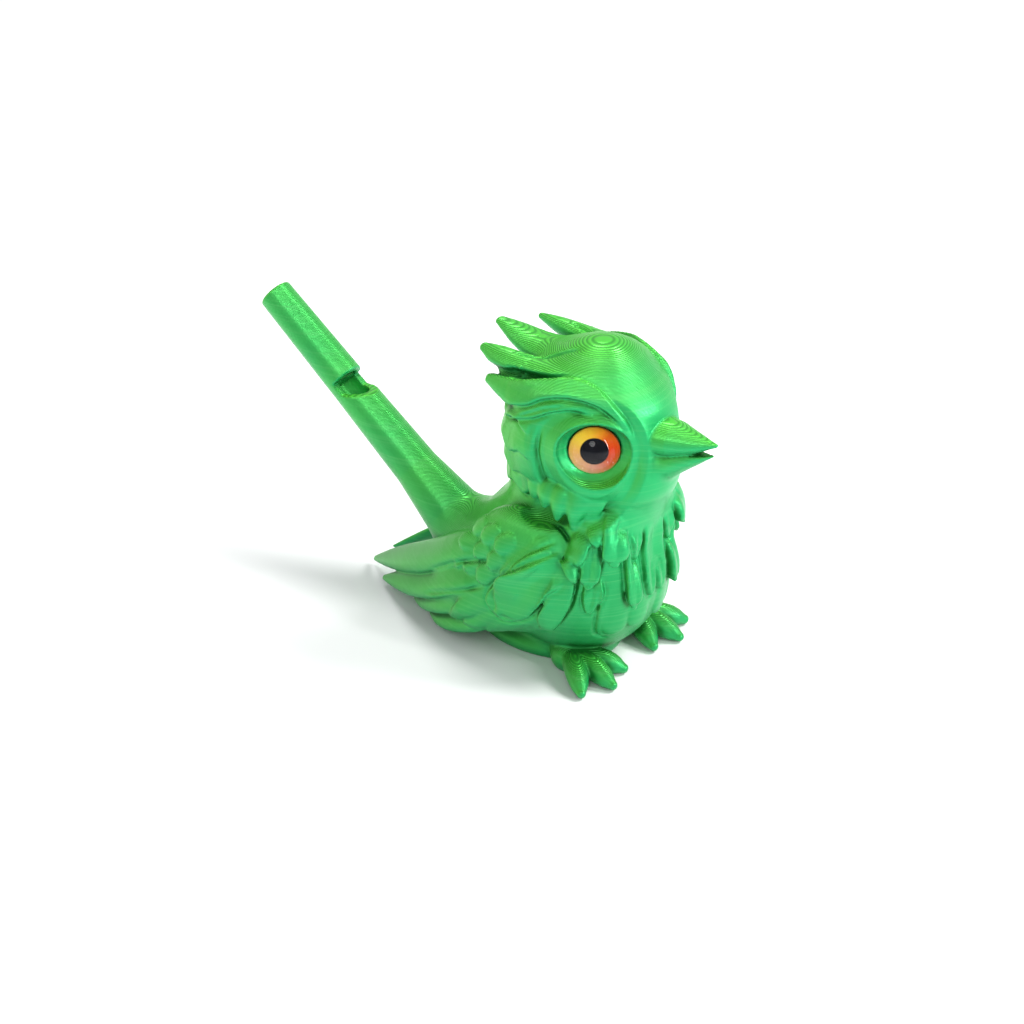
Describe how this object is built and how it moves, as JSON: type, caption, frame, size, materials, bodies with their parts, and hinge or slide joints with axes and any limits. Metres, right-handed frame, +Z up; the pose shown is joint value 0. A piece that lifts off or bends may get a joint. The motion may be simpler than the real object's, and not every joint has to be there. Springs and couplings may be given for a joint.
{
  "type": "bird water whistle",
  "caption": "Small crested bird figure that is a water whistle, with a blowing tube for a tail, a hollow body and glass eyes.",
  "frame": {"origin": "on the plane that the bird stands on, under the middle of the whole object's box", "axes": "+X is the way the beak points, +Y is the bird's left, +Z is up"},
  "size_m": [0.1176, 0.0446, 0.0695],
  "materials": {
    "silk_green": "two-tone silk print, layer lines",
    "silk_lime": "two-tone silk print, layer lines",
    "silk_emerald": "two-tone silk print, layer lines",
    "clear_glass": "polished",
    "printed_iris": "printed, glossy",
    "glue_pad": "cured glue"
  },
  "bodies": {
    "root": {"body_shell": "silk_green", "breast_ruff": "silk_emerald", "crest_brow_left": "silk_lime", "crest_brow_right": "silk_lime", "crest_centre": "silk_lime", "crest_temple_left": "silk_lime", "crest_temple_right": "silk_lime", "crest_upper_left": "silk_lime", "crest_upper_right": "silk_lime", "eye_dome_left": "clear_glass", "eye_dome_right": "clear_glass", "eye_pad_left": "glue_pad", "eye_pad_right": "glue_pad", "fipple_block": "silk_lime", "foot_left": "silk_green", "foot_right": "silk_green", "head_shell": "silk_emerald", "iris_disc_left": "printed_iris", "iris_disc_right": "printed_iris", "lower_beak": "silk_emerald", "nape_ruff": "silk_green", "primary_1_left": "silk_lime", "primary_1_right": "silk_lime", "primary_2_left": "silk_lime", "primary_2_right": "silk_lime", "primary_3_left": "silk_lime", "primary_3_right": "silk_lime", "primary_4_left": "silk_lime", "primary_4_right": "silk_lime", "side_tuft_left": "silk_emerald", "side_tuft_right": "silk_emerald", "upper_beak": "silk_emerald", "whistle_tube": "silk_lime", "wing_coverts_left": "silk_green", "wing_coverts_right": "silk_green"}
  },
  "joints": []
}
